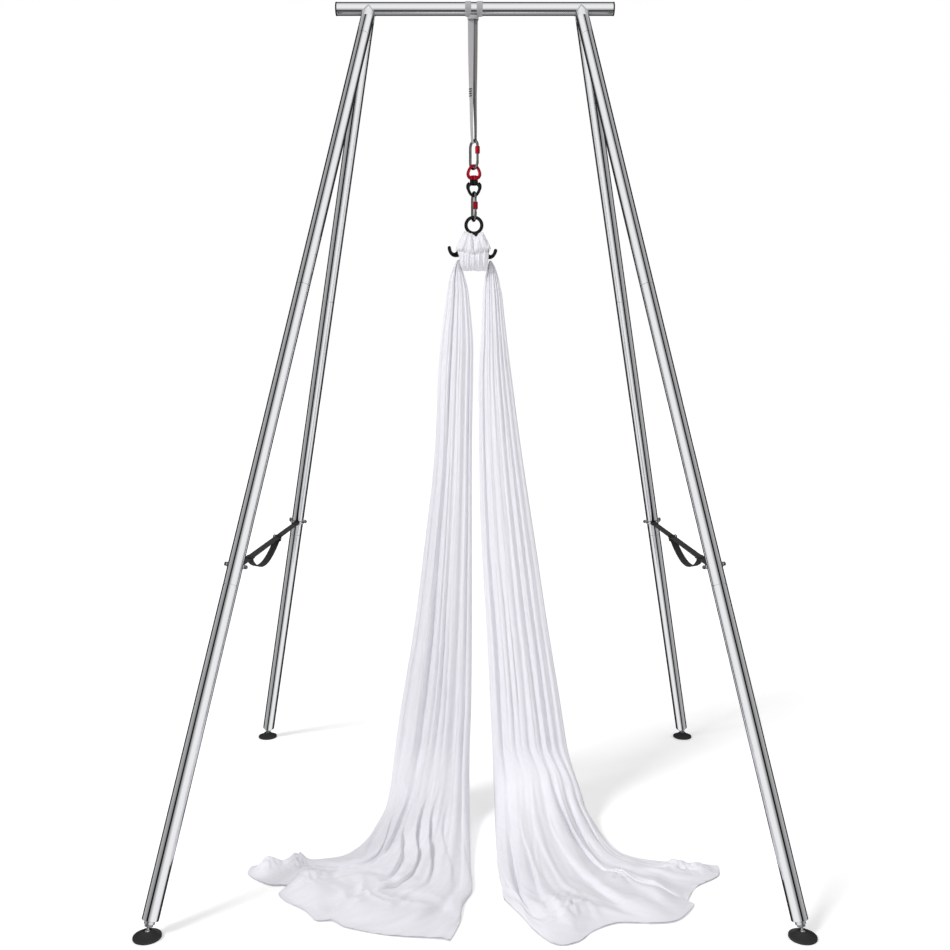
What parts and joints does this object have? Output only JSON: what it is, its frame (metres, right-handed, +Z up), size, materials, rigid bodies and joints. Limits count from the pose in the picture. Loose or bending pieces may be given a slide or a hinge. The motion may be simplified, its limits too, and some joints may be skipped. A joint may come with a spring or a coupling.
{
  "type": "aerial silk rig",
  "caption": "Freestanding A-frame of steel tubes with a silk hung from its top bar by a sling, carabiners, a swivel and a rescue figure eight.",
  "frame": {"origin": "on the floor, midway between the four feet", "axes": "+X along the top bar to the viewer's right in the picture, -Y towards the viewer, +Z up"},
  "size_m": [1.9288, 1.73, 2.9631],
  "materials": {
    "tube_steel": "polished",
    "zinc_steel": "bright zinc plated",
    "link_steel": "polished",
    "black_rubber": "matte",
    "black_plastic": "matte",
    "black_webbing": "woven",
    "grey_webbing": "woven",
    "red_anodised": "anodised gloss",
    "black_anodised": "anodised satin",
    "white_silk": "smooth knitted cloth"
  },
  "bodies": {
    "frame": {"top_bar": "tube_steel", "left_end_cap": "black_plastic", "right_end_cap": "black_plastic", "front_left_upper_tube": "tube_steel", "front_left_middle_tube": "tube_steel", "front_left_lower_tube": "tube_steel", "front_left_foot_insert": "zinc_steel", "front_left_foot_nut": "zinc_steel", "front_left_joint_bolt": "zinc_steel", "front_left_joint_nut": "zinc_steel", "front_left_strap_bail": "zinc_steel", "rear_left_upper_tube": "tube_steel", "rear_left_middle_tube": "tube_steel", "rear_left_lower_tube": "tube_steel", "rear_left_foot_insert": "zinc_steel", "rear_left_foot_nut": "zinc_steel", "rear_left_joint_bolt": "zinc_steel", "rear_left_joint_nut": "zinc_steel", "rear_left_strap_bail": "zinc_steel", "front_right_upper_tube": "tube_steel", "front_right_middle_tube": "tube_steel", "front_right_lower_tube": "tube_steel", "front_right_foot_insert": "zinc_steel", "front_right_foot_nut": "zinc_steel", "front_right_joint_bolt": "zinc_steel", "front_right_joint_nut": "zinc_steel", "front_right_strap_bail": "zinc_steel", "rear_right_upper_tube": "tube_steel", "rear_right_middle_tube": "tube_steel", "rear_right_lower_tube": "tube_steel", "rear_right_foot_insert": "zinc_steel", "rear_right_foot_nut": "zinc_steel", "rear_right_joint_bolt": "zinc_steel", "rear_right_joint_nut": "zinc_steel", "rear_right_strap_bail": "zinc_steel", "left_brace_strap": "black_webbing", "left_brace_slider": "black_plastic", "right_brace_strap": "black_webbing", "right_brace_slider": "black_plastic"},
    "front_left_stud": {"front_left_foot_stud": "zinc_steel"},
    "front_left_pad": {"front_left_foot_pad": "black_rubber"},
    "rear_left_stud": {"rear_left_foot_stud": "zinc_steel"},
    "rear_left_pad": {"rear_left_foot_pad": "black_rubber"},
    "front_right_stud": {"front_right_foot_stud": "zinc_steel"},
    "front_right_pad": {"front_right_foot_pad": "black_rubber"},
    "rear_right_stud": {"rear_right_foot_stud": "zinc_steel"},
    "rear_right_pad": {"rear_right_foot_pad": "black_rubber"},
    "sling": {"sling": "grey_webbing"},
    "upper_carabiner": {"upper_carabiner_body": "link_steel"},
    "upper_gate": {"upper_carabiner_gate": "link_steel"},
    "upper_sleeve": {"upper_carabiner_sleeve": "red_anodised"},
    "swivel_top": {"swivel_top": "red_anodised"},
    "swivel_bottom": {"swivel_bottom": "black_anodised"},
    "lower_carabiner": {"lower_carabiner_body": "link_steel"},
    "lower_gate": {"lower_carabiner_gate": "link_steel"},
    "lower_sleeve": {"lower_carabiner_sleeve": "red_anodised"},
    "rescue_eight": {"rescue_eight": "black_anodised", "silk_knot": "white_silk", "silk_left_tail": "white_silk", "silk_right_tail": "white_silk"}
  },
  "joints": [
    {"name": "front_left_foot_height", "type": "slide", "parent": "frame", "child": "front_left_stud", "axis": [-0.1752, -0.2677, -0.9474], "range_m": [0, 0.02]},
    {"name": "front_left_foot_tilt", "type": "hinge", "parent": "front_left_stud", "child": "front_left_pad", "pos_m": [-0.925, -0.825, 0.016], "axis": [0.8367, -0.5477, 0], "range_deg": [-12, 12]},
    {"name": "rear_left_foot_height", "type": "slide", "parent": "frame", "child": "rear_left_stud", "axis": [-0.1752, 0.2677, -0.9474], "range_m": [0, 0.02]},
    {"name": "rear_left_foot_tilt", "type": "hinge", "parent": "rear_left_stud", "child": "rear_left_pad", "pos_m": [-0.925, 0.825, 0.016], "axis": [-0.8367, -0.5477, 0], "range_deg": [-12, 12]},
    {"name": "front_right_foot_height", "type": "slide", "parent": "frame", "child": "front_right_stud", "axis": [0.1752, -0.2677, -0.9474], "range_m": [0, 0.02]},
    {"name": "front_right_foot_tilt", "type": "hinge", "parent": "front_right_stud", "child": "front_right_pad", "pos_m": [0.925, -0.825, 0.016], "axis": [0.8367, 0.5477, 0], "range_deg": [-12, 12]},
    {"name": "rear_right_foot_height", "type": "slide", "parent": "frame", "child": "rear_right_stud", "axis": [0.1752, 0.2677, -0.9474], "range_m": [0, 0.02]},
    {"name": "rear_right_foot_tilt", "type": "hinge", "parent": "rear_right_stud", "child": "rear_right_pad", "pos_m": [0.925, 0.825, 0.016], "axis": [-0.8367, 0.5477, 0], "range_deg": [-12, 12]},
    {"name": "sling_swing", "type": "hinge", "parent": "frame", "child": "sling", "pos_m": [-0.004, 0, 2.936], "axis": [1, 0, 0], "range_deg": [-5, 5], "deforming": ["silk_left_tail", "silk_right_tail"]},
    {"name": "upper_carabiner_swing", "type": "hinge", "parent": "sling", "child": "upper_carabiner", "pos_m": [-0.004, 0, 2.456], "axis": [0.5446, -0.8387, 0], "range_deg": [-6, 6], "deforming": ["silk_left_tail", "silk_right_tail"]},
    {"name": "upper_gate_hinge", "type": "hinge", "parent": "upper_carabiner", "child": "upper_gate", "pos_m": [0.00907, -0.02013, 2.3826], "axis": [-0.8387, -0.5446, 0], "range_deg": [0, 28], "stiffness_Nm_per_rad": 0.3, "springref_deg": -22.92},
    {"name": "upper_sleeve_slide", "type": "slide", "parent": "upper_gate", "child": "upper_sleeve", "axis": [0, 0, 1], "range_m": [0, 0.005]},
    {"name": "swivel_top_swing", "type": "hinge", "parent": "upper_carabiner", "child": "swivel_top", "pos_m": [-0.004, 0, 2.354], "axis": [-0.5446, 0.8387, 0], "range_deg": [-6, 6], "deforming": ["silk_left_tail", "silk_right_tail"]},
    {"name": "swivel_turn", "type": "hinge", "parent": "swivel_top", "child": "swivel_bottom", "pos_m": [-0.004, 0, 2.3105], "axis": [0, 0, 1], "continuous": true, "deforming": ["silk_left_tail", "silk_right_tail"]},
    {"name": "lower_carabiner_swing", "type": "hinge", "parent": "swivel_bottom", "child": "lower_carabiner", "pos_m": [-0.004, 0, 2.267], "axis": [0.2419, -0.9703, 0], "range_deg": [-6, 6], "deforming": ["silk_left_tail", "silk_right_tail"]},
    {"name": "lower_gate_hinge", "type": "hinge", "parent": "lower_carabiner", "child": "lower_gate", "pos_m": [0.00181, -0.02329, 2.1936], "axis": [-0.9703, -0.2419, 0], "range_deg": [0, 28], "stiffness_Nm_per_rad": 0.3, "springref_deg": -22.92},
    {"name": "lower_sleeve_slide", "type": "slide", "parent": "lower_gate", "child": "lower_sleeve", "axis": [0, 0, 1], "range_m": [0, 0.018]},
    {"name": "eight_swing", "type": "hinge", "parent": "lower_carabiner", "child": "rescue_eight", "pos_m": [-0.004, 0, 2.165], "axis": [-0.2419, 0.9703, 0], "range_deg": [-6, 6], "deforming": ["silk_left_tail", "silk_right_tail"]}
  ]
}
